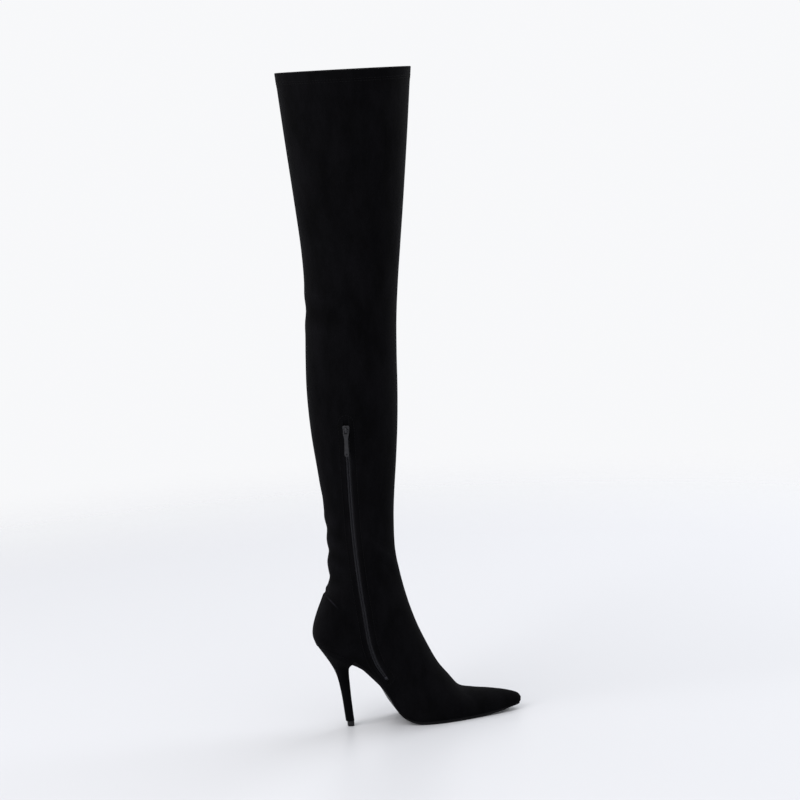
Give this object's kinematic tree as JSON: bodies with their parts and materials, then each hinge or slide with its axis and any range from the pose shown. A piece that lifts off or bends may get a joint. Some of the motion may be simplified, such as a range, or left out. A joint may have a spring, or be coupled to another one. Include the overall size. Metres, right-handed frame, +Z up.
{
  "type": "thigh-high boot",
  "caption": "Pointed thigh-high stretch boot for the left foot, with a tall slim covered heel, a thin sole and a zip along the inner ankle and calf.",
  "frame": {"origin": "centre of the heel tip's flat face, on the floor", "axes": "+Z up to the collar, +X from heel to toe, +Y to the outer side of the left leg"},
  "size_m": [0.2379, 0.1392, 0.7302],
  "materials": {
    "suede": "matte brushed nap, black",
    "sole_edge": "polished black edge, satin tread",
    "insole": "matte lining, black",
    "heel_tip": "hard, slightly glossy, black",
    "zip_tape": "woven tape and satin coil, black",
    "zip_metal": "lacquered metal, dark"
  },
  "bodies": {
    "boot": {"upper": "suede", "outsole": "sole_edge", "insole": "insole", "heel": "suede", "top_lift": "heel_tip", "zip_chain": "zip_tape", "zip_slider": "zip_metal"},
    "pull_tab": {"pull_tab": "zip_metal"}
  },
  "joints": [
    {"name": "pull_tab_swing", "type": "hinge", "parent": "boot", "child": "pull_tab", "pos_m": [0.00527, -0.04388, 0.34376], "axis": [-0.9372, 0.3485, 0.0124], "range_deg": [-5, 172]}
  ]
}
